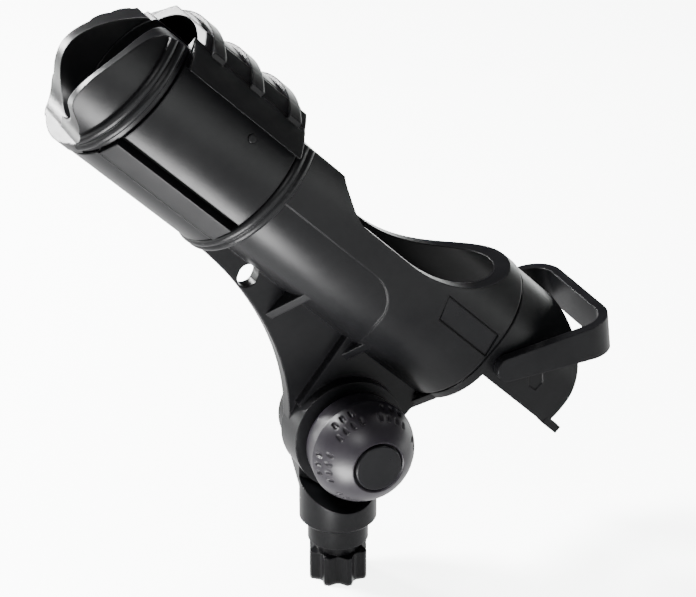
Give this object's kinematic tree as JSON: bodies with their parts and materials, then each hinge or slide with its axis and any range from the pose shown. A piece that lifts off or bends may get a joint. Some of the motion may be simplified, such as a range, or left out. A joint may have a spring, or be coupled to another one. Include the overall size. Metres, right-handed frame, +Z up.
{
  "type": "rod holder",
  "caption": "Tilting fishing rod holder: open-slotted tube with lobed mouth, turning lock collar, rear bail, side clamp knob and splined post.",
  "frame": {"origin": "centre of the post's shoulder face, which rests on the deck socket", "axes": "+Z up along the post, -X towards the tube's mouth, -Y towards the knob; the tilt axis is parallel to Y"},
  "size_m": [0.2146, 0.0748, 0.244],
  "materials": {
    "cradle_plastic": "black glass-filled nylon, satin with faint moulding grain",
    "collar_plastic": "black glass-filled nylon, satin",
    "grip_plastic": "black nylon, slightly duller, ribbed thumb grip",
    "knob_plastic": "black nylon with fine spark-eroded texture",
    "cap_plastic": "black nylon, smoother disc",
    "base_plastic": "black glass-filled nylon, satin",
    "bail_plastic": "black nylon, satin",
    "stainless": "stainless steel, bright drawn",
    "brass": "plain brass insert",
    "acetal": "black acetal, smooth"
  },
  "bodies": {
    "base": {"base_post": "base_plastic", "fixed_ratchet_ring": "acetal", "spring_washer": "stainless", "tilt_bolt": "stainless", "bolt_cover": "cap_plastic"},
    "cradle": {"cradle_body": "cradle_plastic", "moving_ratchet_ring": "acetal", "hub_bush": "acetal", "thrust_washer": "acetal", "badge_plate": "cap_plastic", "mouth_ring": "cradle_plastic", "bail_pin_right": "acetal", "bail_pin_left": "acetal", "bail_washer_right": "acetal", "bail_washer_left": "acetal"},
    "collar": {"locking_collar": "collar_plastic", "collar_stop_pin": "acetal", "thumb_grip": "grip_plastic"},
    "bail": {"bail": "bail_plastic"},
    "knob": {"knob_shell": "knob_plastic", "knob_insert": "brass", "knob_cap": "cap_plastic"}
  },
  "joints": [
    {"name": "tilt", "type": "hinge", "parent": "base", "child": "cradle", "pos_m": [0, 0, 0.042], "axis": [0, -1, 0], "range_deg": [-38, 42]},
    {"name": "knob_turn", "type": "hinge", "parent": "base", "child": "knob", "pos_m": [0, 0, 0.042], "axis": [0, -1, 0], "continuous": true},
    {"name": "collar_turn", "type": "hinge", "parent": "cradle", "child": "collar", "pos_m": [-0.05987, 0, 0.17694], "axis": [0.7169, 0, -0.6972], "range_deg": [0, 112]},
    {"name": "bail_swing", "type": "hinge", "parent": "cradle", "child": "bail", "pos_m": [0.05805, 0, 0.0677], "axis": [0, -1, 0], "range_deg": [-46, 75]}
  ]
}
